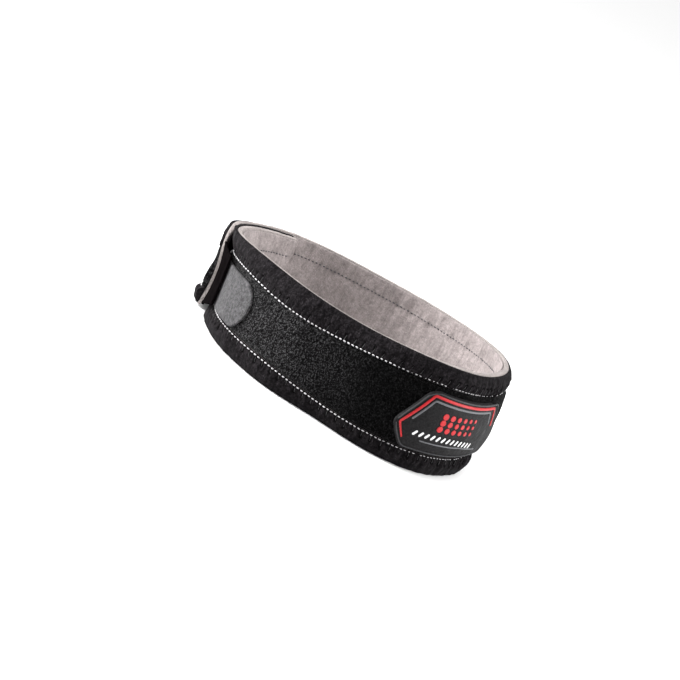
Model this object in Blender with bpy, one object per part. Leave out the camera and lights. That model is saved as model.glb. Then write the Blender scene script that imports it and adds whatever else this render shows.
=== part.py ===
"""Patella strap: a neoprene band that wraps round below the knee and closes on itself with a hook tab.

Metres, +Z up, the leg's axis along Z. The band stands on its lower rim at z = 0 and the patch faces -Y.
Bearings are degrees about Z counted from the front, counter-clockwise seen from above. The band starts
under its own flap, runs once round and ends in the flap, which lies over the hook tab and the start.
A share of height is 0 on the lower rim and 1 on the upper rim. Depths count inwards from the outer face.
"""
import bmesh
import bpy
import numpy as np

NOMINAL_RADIUS = 0.0600
FRONT_HEIGHT = 0.0440

CLEARANCE = 0.0003
SKIN_THICKNESS = 0.0009
CORE_THICKNESS = 0.0022
LINING_THICKNESS = 0.0006
FACING_THICKNESS = 0.0010
TAB_THICKNESS = 0.0012
PATCH_THICKNESS = 0.0010
TRIM_THICKNESS = 0.0005
RIM_ROUND = 0.0004
MARGIN_PUFF = 0.0008
PANEL_PUFF = 0.0005

START_BEARING = -187.0
FLAP_END_BEARING = 211.0
FLAP_STAND_OFF = -0.0009
FLAP_BELLY = 0.0015
FLAP_BULGE = 0.0024
FLAP_DROP = 0.0010
FLAP_RISE = 0.0012
FLAP_CORNER = 0.0120
FACING_SPAN = 23.0
FACING_REACH = 25.5
FACING_RISE = 0.0085
FACING_PEAK = 0.0052
TAB_TIP_BEARING = -97.0
STATION_STEP = 6.0

SKIN_INSET = 0.0006
CORNER_STRIP = 0.0021
TRIM_WIDTH = 0.0011
TRIM_SPACING = 0.0024

# Shape of the wall by bearing. Radius, lean and bulge are shares of the nominal radius, the height is a
# share of the front height, and the seams are shares of the local height.
SHAPE_COLUMNS = ("bearing", "radius", "lean", "bulge", "height", "low_seam", "high_seam")
SHAPE = np.array((
    (8, 1.090, -0.050, 0.050, 0.980, 0.198, 0.824),
    (38, 0.980, 0.005, 0.063, 0.938, 0.198, 0.824),
    (68, 0.990, 0.023, 0.043, 0.906, 0.203, 0.814),
    (98, 0.987, 0.022, 0.028, 0.865, 0.208, 0.804),
    (128, 0.985, 0.028, 0.020, 0.840, 0.208, 0.800),
    (158, 0.975, 0.038, 0.010, 0.836, 0.208, 0.795),
    (188, 1.010, 0.062, -0.035, 0.836, 0.208, 0.790),
    (218, 0.988, 0.092, -0.060, 0.861, 0.208, 0.785),
    (248, 0.940, 0.038, 0.028, 0.918, 0.208, 0.790),
    (278, 0.947, -0.007, 0.040, 0.934, 0.208, 0.765),
    (308, 0.960, 0.002, 0.052, 0.940, 0.159, 0.804),
    (338, 1.152, -0.005, 0.058, 1.006, 0.168, 0.833),
))

# Outline of the hook tab from its tip: degrees back from the tip, then the two edges.
TAB_COLUMNS = ("back", "low", "high")
TAB = np.array((
    (0.0, 0.450, 0.568),
    (1.2, 0.392, 0.627),
    (3.4, 0.314, 0.676),
    (6.0, 0.260, 0.711),
    (9.5, 0.246, 0.730),
    (34.0, 0.250, 0.730),
    (79.0, 0.255, 0.725),
))

# Outline of the patch by bearing.
PATCH_COLUMNS = ("bearing", "low", "high")
PATCH = np.array((
    (-30.6, 0.380, 0.430),
    (-29.2, 0.325, 0.512),
    (-27.3, 0.250, 0.620),
    (-25.2, 0.195, 0.738),
    (-23.4, 0.200, 0.775),
    (-21.4, 0.205, 0.788),
    (14.2, 0.280, 0.790),
    (17.4, 0.355, 0.622),
    (19.4, 0.428, 0.490),
))

# Middle lines of the two raised trim lines on the patch.
BORDER_COLUMNS = ("bearing", "share")
BORDER = np.array((
    (-26.2, 0.282),
    (-29.1, 0.412),
    (-22.9, 0.742),
    (10.2, 0.741),
    (12.6, 0.560),
))
RIDGE_COLUMNS = ("bearing", "share")
RIDGE = np.array((
    (-26.4, 0.474),
    (-22.2, 0.700),
    (6.8, 0.703),
    (9.0, 0.585),
))

BLACK_KNIT = (0.030, 0.029, 0.031)
BLACK_PLUSH = (0.020, 0.019, 0.021)
FOAM_GREY = (0.52, 0.49, 0.48)
LINING_GREY = (0.42, 0.37, 0.36)
FACING_BLACK = (0.012, 0.011, 0.012)
TAB_GREY = (0.26, 0.25, 0.27)
PATCH_CHARCOAL = (0.030, 0.031, 0.033)
TRIM_RED = (0.62, 0.025, 0.035)
TRIM_GREY = (0.16, 0.16, 0.18)


def column(table, names, name):
    return table[:, names.index(name)]


def periodic_slopes(values, step):
    """Slopes of the closed cubic spline through evenly spaced values."""
    count = len(values)
    system = np.zeros((count, count))
    for row in range(count):
        system[row, row] = 4.0
        system[row, (row - 1) % count] = 1.0
        system[row, (row + 1) % count] = 1.0
    return np.linalg.solve(system, 3.0 * (np.roll(values, -1) - np.roll(values, 1)) / step)


SHAPE_STEP = 360.0 / len(SHAPE)
SHAPE_SLOPES = {name: periodic_slopes(column(SHAPE, SHAPE_COLUMNS, name), SHAPE_STEP)
                for name in SHAPE_COLUMNS[1:]}


def shape(bearing, name):
    """One column of the shape table at any bearing."""
    values = column(SHAPE, SHAPE_COLUMNS, name)
    place = ((bearing - SHAPE[0, 0]) % 360.0) / SHAPE_STEP
    low = int(place) % len(values)
    high = (low + 1) % len(values)
    t = place - int(place)
    slopes = SHAPE_SLOPES[name] * SHAPE_STEP
    return float((2 * t**3 - 3 * t**2 + 1) * values[low] + (t**3 - 2 * t**2 + t) * slopes[low]
                 + (3 * t**2 - 2 * t**3) * values[high] + (t**3 - t**2) * slopes[high])


def smooth(value, start, end):
    t = min(max((value - start) / (end - start), 0.0), 1.0)
    return t * t * (3.0 - 2.0 * t)


FLAP_THICKNESS = SKIN_THICKNESS + CORE_THICKNESS + FACING_THICKNESS + 2 * CLEARANCE
OVERLAP_LIFT = FLAP_THICKNESS + TAB_THICKNESS + PANEL_PUFF + 2 * CLEARANCE
LIFT_START = START_BEARING + 360.0 - 48.0
LIFT_END = START_BEARING + 360.0 - 3.0


def belly(share):
    """Outline of the flap's end seen end-on: 1 a little above its middle, less towards both rims."""
    reach = 0.6 if share < 0.6 else 0.3
    return 1.0 - ((share - 0.6) / reach)**2


def lift(bearing, share):
    """How far the outer face stands out from the wall, to pass over the band's own start."""
    over = OVERLAP_LIFT * smooth(bearing, LIFT_START, LIFT_END)
    end = smooth(bearing, FLAP_END_BEARING - 22.0, FLAP_END_BEARING)
    end -= smooth(bearing, FLAP_END_BEARING, FLAP_END_BEARING + 8.0)
    swell = smooth(bearing, FLAP_END_BEARING - 22.0, FLAP_END_BEARING - 9.0)
    swell -= smooth(bearing, FLAP_END_BEARING - 7.0, FLAP_END_BEARING)
    rounded = FLAP_BULGE * max(1.0 - 1.5 * share, 0.0) * swell
    return over + (FLAP_STAND_OFF + FLAP_BELLY * belly(share)) * end + rounded


def height(bearing):
    """Height of the upper rim, with the flap's upper corner rounded off."""
    full = FRONT_HEIGHT * shape(bearing, "height")
    if bearing < FLAP_END_BEARING - 40.0:
        return full
    span = np.degrees(FLAP_CORNER / NOMINAL_RADIUS)
    past = min(max((bearing - FLAP_END_BEARING + span) / span, 0.0), 0.98)
    drop = FLAP_DROP * smooth(bearing, FLAP_END_BEARING - 40.0, FLAP_END_BEARING - 15.0)
    return full - drop - FLAP_CORNER * (1.0 - np.sqrt(1.0 - past * past))


def foot(bearing):
    """Height of the lower rim, which rises a little towards the flap's end."""
    return FLAP_RISE * smooth(bearing, FLAP_END_BEARING - 40.0, FLAP_END_BEARING - 15.0)


def wall(bearing, level, depth):
    """Point at a bearing, a height above the lower rim and a depth inwards from the outer face."""
    share = level / (FRONT_HEIGHT * shape(bearing, "height"))
    radius = NOMINAL_RADIUS * (shape(bearing, "radius") + shape(bearing, "lean") * share
                               + shape(bearing, "bulge") * (1.0 - (2.0 * share - 1.0)**2))
    radius += lift(bearing, share) - depth
    angle = np.radians(bearing - 90.0)
    return (radius * np.cos(angle), radius * np.sin(angle), level)


def stations(start, end, extra=()):
    """Bearings every step of one common grid between two ends, with extra ones kept."""
    kept = sorted({start, end, *extra})
    first = int(np.ceil(start / STATION_STEP))
    last = int(np.floor(end / STATION_STEP))
    common = [STATION_STEP * number for number in range(first, last + 1)]
    common = [bearing for bearing in common if min(abs(bearing - value) for value in kept) > 1.0]
    return sorted(kept + common)


def strip(name, rows, divisions, puff, colour, roughness):
    """Closed strip along the wall from rows of bearing, low level, high level, outer and inner depth."""
    mesh = bmesh.new()
    rings = []
    for bearing, low, high, outer, inner in rows:
        corner = min(RIM_ROUND, 0.3 * (inner - outer), 0.3 * (high - low))
        section = [(low, inner - corner), (low, outer + corner), (low + corner, outer)]
        for step in range(1, divisions):
            t = step / divisions
            section.append((low + (high - low) * t, outer - puff * np.sin(np.pi * t)))
        section += [(high - corner, outer), (high, outer + corner), (high, inner - corner),
                    (high - corner, inner)]
        for step in range(divisions - 1, 0, -1):
            t = step / divisions
            section.append((low + (high - low) * t, inner))
        section.append((low + corner, inner))
        rings.append([mesh.verts.new(wall(bearing, level, depth)) for level, depth in section])
    size = len(rings[0])
    for first, second in zip(rings, rings[1:]):
        for corner in range(size):
            other = (corner + 1) % size
            mesh.faces.new((first[corner], first[other], second[other], second[corner]))
    mesh.faces.new(list(reversed(rings[0])))
    mesh.faces.new(rings[-1])
    return finish(name, mesh, colour, roughness)


def line(name, table, width, outer, inner, colour, roughness):
    """Raised line of even width along a path on the wall."""
    bearings = table[:, 0]
    levels = np.array([share * FRONT_HEIGHT * shape(bearing, "height")
                       for bearing, share in zip(bearings, table[:, 1])])
    lengths = np.radians(bearings) * NOMINAL_RADIUS
    bends = np.stack([lengths, levels], 1)
    points = [bends[0]]
    for first, second in zip(bends, bends[1:]):
        count = int(np.ceil(np.linalg.norm(second - first) / TRIM_SPACING))
        points += [first + (second - first) * step / count for step in range(1, count + 1)]
    points = np.array(points)
    along = np.diff(points, axis=0)
    along /= np.linalg.norm(along, axis=1)[:, None]
    mesh = bmesh.new()
    rings = []
    for index, point in enumerate(points):
        before = along[max(index - 1, 0)]
        after = along[min(index, len(along) - 1)]
        middle = (before + after) / np.linalg.norm(before + after)
        side = np.array((-middle[1], middle[0])) * width / 2 / max(0.5, float(middle @ after))
        ring = []
        for sign, depth in ((-1, outer), (1, outer), (1, inner), (-1, inner)):
            place = point + sign * side
            ring.append(mesh.verts.new(wall(np.degrees(place[0] / NOMINAL_RADIUS), place[1], depth)))
        rings.append(ring)
    for first, second in zip(rings, rings[1:]):
        for corner in range(4):
            other = (corner + 1) % 4
            mesh.faces.new((first[corner], first[other], second[other], second[corner]))
    mesh.faces.new(list(reversed(rings[0])))
    mesh.faces.new(rings[-1])
    return finish(name, mesh, colour, roughness)


def finish(name, mesh, colour, roughness):
    """Turn a mesh into a named, smooth-shaded part with its own material."""
    bmesh.ops.recalc_face_normals(mesh, faces=mesh.faces)
    data = bpy.data.meshes.new(name)
    mesh.to_mesh(data)
    mesh.free()
    for face in data.polygons:
        face.use_smooth = len(face.vertices) == 4
    material = bpy.data.materials.new(name)
    material.use_nodes = True
    shader = material.node_tree.nodes["Principled BSDF"]
    shader.inputs["Base Color"].default_value = (*colour, 1.0)
    shader.inputs["Roughness"].default_value = roughness
    data.materials.append(material)
    part = bpy.data.objects.new(name, data)
    collection.objects.link(part)
    return part


def pinch(bearing):
    """Share of the core's full thickness: pressed thin along the flap's end."""
    return 1.0 - 0.5 * smooth(bearing, FLAP_END_BEARING - 8.0, FLAP_END_BEARING)


def core_rows():
    outer = SKIN_THICKNESS + CLEARANCE
    rows = []
    for bearing in band_stations(START_BEARING, FLAP_END_BEARING):
        rows.append((bearing, foot(bearing), height(bearing), outer, outer + CORE_THICKNESS * pinch(bearing)))
    return rows


def band_stations(start, end):
    """Stations along the band, closer together at the flap's rounded end."""
    extra = [end - back for back in (1.0, 2.2, 3.8, 5.6, 7.6, 9.8)]
    return stations(start, end, extra if end > FLAP_END_BEARING - 1.0 else ())


def inner_rows(start, end, thickness):
    rows = []
    for bearing in band_stations(start, end):
        outer = SKIN_THICKNESS + 2 * CLEARANCE + CORE_THICKNESS * pinch(bearing)
        low = foot(bearing) + SKIN_INSET
        rows.append((bearing, low, height(bearing) - SKIN_INSET, outer, outer + thickness))
    return rows


def facing_rows(start):
    """Facing inside the flap's end, which runs on past the foam and comes down on the tab's root."""
    rows = []
    end = FLAP_END_BEARING + FACING_REACH
    rise = FACING_RISE / FACING_REACH
    on_tab = CLEARANCE + PANEL_PUFF + TAB_THICKNESS + CLEARANCE + FACING_THICKNESS
    for bearing in stations(start, end, [FLAP_END_BEARING + past for past in (0.0, 4.0, 8.0, 12.0, 16.0)]):
        under_flap = SKIN_THICKNESS + 2 * CLEARANCE + CORE_THICKNESS * pinch(bearing)
        down = smooth(bearing, FLAP_END_BEARING, FLAP_END_BEARING + 0.8 * FACING_REACH)
        outer = (1.0 - down) * under_flap + down * (lift(bearing, 0.5) - on_tab)
        top = height(min(bearing, FLAP_END_BEARING)) - SKIN_INSET
        top += FACING_PEAK * smooth(bearing, FLAP_END_BEARING, FLAP_END_BEARING + 8.0)
        low = foot(bearing) + SKIN_INSET + rise * max(bearing - FLAP_END_BEARING, 0.0)
        rows.append((bearing, low, top, outer, outer + FACING_THICKNESS))
    return rows


def skin_rows(low_seam, high_seam):
    """Rows of an outer skin between two seams, or between a seam and a rim where none is named."""
    rows = []
    for bearing in band_stations(START_BEARING + 0.6, FLAP_END_BEARING - 0.6):
        full = FRONT_HEIGHT * shape(bearing, "height")
        top = height(bearing) - SKIN_INSET
        low = foot(bearing) + SKIN_INSET
        if low_seam:
            low = full * shape(bearing, low_seam) + CLEARANCE / 2
        high = top
        if high_seam:
            high = full * shape(bearing, high_seam) - CLEARANCE / 2
            high = min(high, top - CORNER_STRIP - CLEARANCE)
        elif low_seam == "high_seam":
            low = min(low, top - CORNER_STRIP)
        rows.append((bearing, low, high, 0.0, SKIN_THICKNESS))
    return rows


def outline_rows(bearings, lows, highs, thickness):
    """Rows of a flat piece that lies on the panel, from its outline by rising bearing."""
    rows = []
    for bearing in stations(float(bearings[0]), float(bearings[-1]), [float(value) for value in bearings]):
        full = FRONT_HEIGHT * shape(bearing, "height")
        low = full * float(np.interp(bearing, bearings, lows))
        high = full * float(np.interp(bearing, bearings, highs))
        inner = -CLEARANCE - PANEL_PUFF
        rows.append((bearing, low, high, inner - thickness, inner))
    return rows


def tab_rows():
    back = column(TAB, TAB_COLUMNS, "back")[::-1]
    low = column(TAB, TAB_COLUMNS, "low")[::-1]
    high = column(TAB, TAB_COLUMNS, "high")[::-1]
    return outline_rows(TAB_TIP_BEARING - back, low, high, TAB_THICKNESS)


def patch_rows():
    return outline_rows(*(column(PATCH, PATCH_COLUMNS, name) for name in PATCH_COLUMNS), PATCH_THICKNESS)


for item in list(bpy.data.objects):
    bpy.data.objects.remove(item, do_unlink=True)
collection = bpy.data.collections.new("patella_strap")
bpy.context.scene.collection.children.link(collection)

facing_start = FLAP_END_BEARING - FACING_SPAN
gap_bearing = np.degrees(CLEARANCE / NOMINAL_RADIUS)
trim_inner = -2 * CLEARANCE - PANEL_PUFF - PATCH_THICKNESS

strip("foam_core", core_rows(), 5, 0.0, FOAM_GREY, 0.8)
strip("lining", inner_rows(START_BEARING + 0.6, facing_start, LINING_THICKNESS), 5, 0.0, LINING_GREY, 0.9)
strip("flap_facing", facing_rows(facing_start + gap_bearing), 5, 0.0, FACING_BLACK, 0.9)
strip("upper_margin", skin_rows("high_seam", ""), 3, MARGIN_PUFF, BLACK_KNIT, 0.85)
strip("lower_margin", skin_rows("", "low_seam"), 3, MARGIN_PUFF, BLACK_KNIT, 0.85)
strip("loop_panel", skin_rows("low_seam", "high_seam"), 4, PANEL_PUFF, BLACK_PLUSH, 0.95)
strip("hook_tab", tab_rows(), 3, 0.0, TAB_GREY, 0.7)
strip("patch", patch_rows(), 3, 0.0, PATCH_CHARCOAL, 0.55)
line("patch_border", BORDER, TRIM_WIDTH, trim_inner - TRIM_THICKNESS, trim_inner, TRIM_RED, 0.5)
line("patch_ridge", RIDGE, TRIM_WIDTH, trim_inner - TRIM_THICKNESS, trim_inner, TRIM_GREY, 0.5)

corners = np.array([vertex.co for part in collection.objects for vertex in part.data.vertices])
centre = (corners.min(axis=0) + corners.max(axis=0)) / 2
for part in collection.objects:
    for vertex in part.data.vertices:
        vertex.co.x -= centre[0]
        vertex.co.y -= centre[1]
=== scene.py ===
import bpy
import numpy as np
from mathutils import Matrix, Vector


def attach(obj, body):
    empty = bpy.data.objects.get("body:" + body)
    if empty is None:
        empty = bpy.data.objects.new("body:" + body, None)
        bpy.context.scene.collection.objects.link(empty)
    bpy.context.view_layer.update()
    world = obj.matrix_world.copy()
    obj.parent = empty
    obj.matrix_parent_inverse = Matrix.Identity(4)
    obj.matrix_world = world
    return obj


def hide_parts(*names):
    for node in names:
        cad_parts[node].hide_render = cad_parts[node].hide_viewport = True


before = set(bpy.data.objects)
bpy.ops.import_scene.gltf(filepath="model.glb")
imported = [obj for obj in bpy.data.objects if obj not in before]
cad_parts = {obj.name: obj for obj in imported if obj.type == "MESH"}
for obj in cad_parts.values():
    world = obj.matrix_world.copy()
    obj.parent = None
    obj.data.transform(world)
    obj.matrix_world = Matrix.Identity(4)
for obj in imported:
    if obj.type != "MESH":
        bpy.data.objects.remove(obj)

scene = bpy.context.scene
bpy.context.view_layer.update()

# Sizes shared with the solids, and tables of their forms.
NOMINAL_RADIUS = 0.0600
FRONT_HEIGHT = 0.0440
CENTRE = np.array((0.00070048, -0.00109357, 0.0))
START = -187.0
FLAP_END = 211.0
CLEARANCE = 0.0003
SKIN = 0.0009
CORE = 0.0022
LINING = 0.0006
FACING = 0.0010
TAB_THICKNESS = 0.0012
PATCH_THICKNESS = 0.0010
PANEL_PUFF = 0.0005
FLAP_STAND_OFF = -0.0009
FLAP_BELLY = 0.0015
FLAP_BULGE = 0.0024
FLAP_DROP = 0.0010
FLAP_RISE = 0.0012
FLAP_CORNER = 0.0120
FLAP_PLUMP = 0.0014
# The facing's tongue past the flap's end and its raised top carry painted shade over the gap between flap
# and tab.
FACING_SPAN = 23.0
FACING_REACH = 25.5
FACING_RISE = 0.0085
FACING_PEAK = 0.0052
TAB_TIP = -97.0
SKIN_INSET = 0.0006
FLAP_THICKNESS = SKIN + CORE + FACING + 2 * CLEARANCE
OVERLAP_LIFT = FLAP_THICKNESS + TAB_THICKNESS + PANEL_PUFF + 2 * CLEARANCE

SHAPE_COLUMNS = ("bearing", "radius", "lean", "bulge", "height", "low_seam", "high_seam")
SHAPE = np.array((
    (8, 1.090, -0.050, 0.050, 0.980, 0.198, 0.824),
    (38, 0.980, 0.005, 0.063, 0.938, 0.198, 0.824),
    (68, 0.990, 0.023, 0.043, 0.906, 0.203, 0.814),
    (98, 0.987, 0.022, 0.028, 0.865, 0.208, 0.804),
    (128, 0.985, 0.028, 0.020, 0.840, 0.208, 0.800),
    (158, 0.975, 0.038, 0.010, 0.836, 0.208, 0.795),
    (188, 1.010, 0.062, -0.035, 0.836, 0.208, 0.790),
    (218, 0.988, 0.092, -0.060, 0.861, 0.208, 0.785),
    (248, 0.940, 0.038, 0.028, 0.918, 0.208, 0.790),
    (278, 0.947, -0.007, 0.040, 0.934, 0.208, 0.765),
    (308, 0.960, 0.002, 0.052, 0.940, 0.159, 0.804),
    (338, 1.152, -0.005, 0.058, 1.006, 0.168, 0.833),
))
# Degrees back from the tab's tip, or bearings; lower and upper edge as shares of the height.
TAB = np.array((
    (0.0, 0.450, 0.568), (1.2, 0.392, 0.627), (3.4, 0.314, 0.676), (6.0, 0.260, 0.711),
    (9.5, 0.246, 0.730), (34.0, 0.250, 0.730), (79.0, 0.255, 0.725),
))
PATCH = np.array((
    (-30.6, 0.380, 0.430), (-29.2, 0.325, 0.512), (-27.3, 0.250, 0.620), (-25.2, 0.195, 0.738),
    (-23.4, 0.200, 0.775), (-21.4, 0.205, 0.788), (14.2, 0.280, 0.790), (17.4, 0.355, 0.622),
    (19.4, 0.428, 0.490),
))
# Lines on the patch: bearings and shares of the height.
BORDER = np.array(((-26.2, 0.282), (-29.1, 0.412), (-22.9, 0.742), (10.2, 0.741), (12.6, 0.560)))
RIDGE = np.array(((-26.4, 0.474), (-22.2, 0.700), (6.8, 0.703), (9.0, 0.585)))
EDGE_BEAD = np.array((
    (-30.0, 0.394), (-28.9, 0.340), (-27.1, 0.268), (-25.0, 0.212), (-21.4, 0.222), (13.8, 0.297),
    (16.9, 0.370), (18.7, 0.452), (16.9, 0.604), (13.8, 0.774), (-21.3, 0.770), (-23.1, 0.757),
    (-24.9, 0.722), (-27.0, 0.604), (-28.9, 0.498), (-30.0, 0.422),
))
FOOT_LINE = np.array(((-21.0, 0.316), (-13.0, 0.330), (-4.0, 0.346), (7.0, 0.338)))


def periodic_slopes(values, step):
    count = len(values)
    system = 4.0 * np.eye(count)
    for row in range(count):
        system[row, (row - 1) % count] = 1.0
        system[row, (row + 1) % count] = 1.0
    return np.linalg.solve(system, 3.0 * (np.roll(values, -1) - np.roll(values, 1)) / step)


SHAPE_STEP = 360.0 / len(SHAPE)
SHAPE_VALUES = {name: SHAPE[:, index] for index, name in enumerate(SHAPE_COLUMNS)}
SHAPE_SLOPES = {name: periodic_slopes(SHAPE_VALUES[name], SHAPE_STEP) * SHAPE_STEP
                for name in SHAPE_COLUMNS[1:]}


def shape(bearing, name):
    values = SHAPE_VALUES[name]
    place = ((np.asarray(bearing, float) - SHAPE[0, 0]) % 360.0) / SHAPE_STEP
    low = np.floor(place).astype(int) % len(values)
    high = (low + 1) % len(values)
    t = place - np.floor(place)
    slopes = SHAPE_SLOPES[name]
    return ((2 * t**3 - 3 * t**2 + 1) * values[low] + (t**3 - 2 * t**2 + t) * slopes[low]
            + (3 * t**2 - 2 * t**3) * values[high] + (t**3 - t**2) * slopes[high])


def smooth(value, start, end):
    t = np.clip((np.asarray(value, float) - start) / (end - start), 0.0, 1.0)
    return t * t * (3.0 - 2.0 * t)


def lift(bearing, share):
    over = OVERLAP_LIFT * smooth(bearing, START + 312.0, START + 357.0)
    end = smooth(bearing, FLAP_END - 22.0, FLAP_END) - smooth(bearing, FLAP_END, FLAP_END + 8.0)
    swell = smooth(bearing, FLAP_END - 22.0, FLAP_END - 9.0) - smooth(bearing, FLAP_END - 7.0, FLAP_END)
    rounded_side = FLAP_BULGE * np.maximum(1.0 - 1.5 * share, 0.0) * swell
    belly = 1.0 - ((share - 0.6) / np.where(share < 0.6, 0.6, 0.3))**2
    return over + (FLAP_STAND_OFF + FLAP_BELLY * belly) * end + rounded_side


def foot_level(bearing):
    """Level of the lower rim, which rises a little towards the flap's end."""
    return FLAP_RISE * smooth(bearing, FLAP_END - 40.0, FLAP_END - 15.0)


def full_height(bearing):
    return FRONT_HEIGHT * shape(bearing, "height")


def height(bearing):
    span = np.degrees(FLAP_CORNER / NOMINAL_RADIUS)
    past = np.clip((bearing - FLAP_END + span) / span, 0.0, 0.98)
    drop = FLAP_DROP * smooth(bearing, FLAP_END - 40.0, FLAP_END - 15.0)
    return full_height(bearing) - drop - FLAP_CORNER * (1.0 - np.sqrt(1.0 - past * past))


def wall(bearing, level, depth):
    """Points at bearings, levels above the lower rim and depths inwards from the outer face."""
    bearing, level, depth = np.broadcast_arrays(bearing, level, depth)
    share = level / full_height(bearing)
    radius = NOMINAL_RADIUS * (shape(bearing, "radius") + shape(bearing, "lean") * share
                               + shape(bearing, "bulge") * (1.0 - (2.0 * share - 1.0)**2))
    radius = radius + lift(bearing, share) - depth
    angle = np.radians(bearing - 90.0)
    return np.stack([radius * np.cos(angle), radius * np.sin(angle), level], -1) - CENTRE


def pinch(bearing):
    return 1.0 - 0.5 * smooth(bearing, FLAP_END - 8.0, FLAP_END)


def seam_levels(bearing):
    """Levels of the lower and upper seam, kept clear of the flap's rounded corner."""
    full = full_height(bearing)
    top = height(bearing) - SKIN_INSET
    return full * shape(bearing, "low_seam"), np.minimum(full * shape(bearing, "high_seam"), top - 0.0023)


# Arc length along the middle of the band, so that stitches and weave keep their pitch.
RUN_BEARINGS = np.arange(START - 1.0, FLAP_END + FACING_REACH + 1.01, 0.25)
RUN_POINTS = wall(RUN_BEARINGS, 0.5 * full_height(RUN_BEARINGS), 0.0)
RUN = np.concatenate([[0.0], np.cumsum(np.linalg.norm(np.diff(RUN_POINTS, axis=0), axis=1))])


def run_at(bearing):
    return np.interp(bearing, RUN_BEARINGS, RUN)


def bearing_at(run):
    return np.interp(run, RUN, RUN_BEARINGS)


# Gentle unevenness.
def ripples(seed, shortest, longest, count=9):
    """Smooth field over run and level, about -1 to 1, from waves of fixed lengths and phases."""
    random = np.random.default_rng(seed)
    lengths = np.exp(random.uniform(np.log(shortest), np.log(longest), count))
    turns = random.uniform(0.0, np.pi, count)
    phases = random.uniform(0.0, 2 * np.pi, count)

    def field(run, level, stretch=1.0):
        total = 0.0
        for length, turn, phase in zip(lengths, turns, phases):
            total = total + np.sin(2 * np.pi / length * (run * np.cos(turn) + level * stretch * np.sin(turn))
                                   + phase)
        return total / np.sqrt(count)
    return field


pile_lumps = ripples(3, 0.0009, 0.0024, 16)
pile_beds = ripples(4, 0.006, 0.020, 9)
band_waves = ripples(5, 0.024, 0.060, 7)
knit_waves = ripples(6, 0.004, 0.012, 9)
gathers = ripples(8, 0.0022, 0.0046, 7)

# Cross stitches of the margins; 1 is above the upper seam and -1 below the lower one.
LEG_PITCH = 0.0041
LEG_JITTER = 0.16
LEG_SEED = {1: 1.0, -1: 5.0}
LEG_REACH = {1: 0.0029, -1: 0.0024}
LEG_GROOVE = 0.00050
LEG_GROOVE_WIDTH = 0.00044
LEG_PIT = 0.00080
LEG_PIT_WIDTH = 0.00062
LEG_PIT_LENGTH = 0.00060
LEG_PILLOW = 0.00010


def hashed(number, seed):
    """Repeatable value from 0 to 1 for each whole number."""
    value = np.sin(np.asarray(number, float) * 12.9898 + seed * 78.233) * 43758.5453
    return value - np.floor(value)


def leg_shift(number, side):
    """How far a cross stitch is off its even place, in pitches."""
    return (hashed(number, LEG_SEED[side]) - 0.5) * LEG_JITTER


def leg_slant(run, side):
    return 0.22 + 0.10 * np.sin(run / 0.031 + LEG_SEED[side])


def leg_length(number, side):
    return LEG_REACH[side] * (0.85 + 0.3 * hashed(number, LEG_SEED[side] + 2))


def leg_field(run, away, side):
    """Grooves and pits that the cross stitches press into a margin, at a distance away from the seam."""
    place = (run - leg_slant(run, side) * away) / LEG_PITCH
    number = np.round(place)
    across = (place - number - leg_shift(number, side)) * LEG_PITCH
    strength = 0.65 + 0.7 * hashed(number, LEG_SEED[side] + 1)
    length = leg_length(number, side)
    window = smooth(away, -0.0002, 0.0005) * (1.0 - smooth(away, length - 0.0006, length + 0.0005))
    groove = np.exp(-(across / LEG_GROOVE_WIDTH)**2) * window
    pit = np.exp(-(across / LEG_PIT_WIDTH)**2 - ((away - length) / LEG_PIT_LENGTH)**2)
    swell = np.cos(2 * np.pi * across / LEG_PITCH)
    reach = LEG_REACH[side]
    pillow = -(swell - 0.4) * smooth(away, 0.0, 0.0012) * (1.0 - smooth(away, 0.6 * reach, 2.2 * reach))
    return strength * (LEG_GROOVE * groove + LEG_PIT * pit) + LEG_PILLOW * pillow


def front(bearing):
    """1 towards the patch, 0 on the left side and round the back."""
    return smooth(bearing, -48.0, -12.0) * (1.0 - smooth(bearing, 40.0, 70.0))


def flap_zone(bearing):
    return smooth(bearing, FLAP_END - 26.0, FLAP_END - 6.0)


def plump(bearing):
    """How far the lower seam stands out at the flap's end, where the tab's root pushes it."""
    return FLAP_PLUMP * flap_zone(bearing)


# Mesh making.
def linked(name, data):
    item = bpy.data.objects.new(name, data)
    scene.collection.objects.link(item)
    return item


def make_object(name, vertices, faces, uv, material, sharp=50.0):
    """Mesh object of closed bodies, with outward faces and the given flat coordinates."""
    mesh = bpy.data.meshes.new(name)
    mesh.from_pydata(vertices.tolist(), [], outward(vertices, faces))
    layer = mesh.uv_layers.new(name="strap")
    index = np.empty(len(mesh.loops), dtype=np.int32)
    mesh.loops.foreach_get("vertex_index", index)
    layer.data.foreach_set("uv", np.asarray(uv, dtype=np.float32)[index].ravel())
    mesh.polygons.foreach_set("use_smooth", np.ones(len(mesh.polygons), dtype=bool))
    mesh.update()
    mesh.set_sharp_from_angle(angle=np.radians(sharp))
    mesh.materials.append(material)
    return linked(name, mesh)


def outward(points, faces):
    """The faces with their order turned, if the closed surface they make is inside out."""
    corner = np.array([face[:3] for face in faces])
    last = np.array([face[-1] for face in faces])
    a, b, c, d = points[corner[:, 0]], points[corner[:, 1]], points[corner[:, 2]], points[last]
    volume = np.einsum("ij,ij->i", a, np.cross(b, c)).sum() + np.einsum("ij,ij->i", a, np.cross(c, d)).sum()
    if volume < 0.0:
        return [face[::-1] for face in faces]
    return faces


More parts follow.
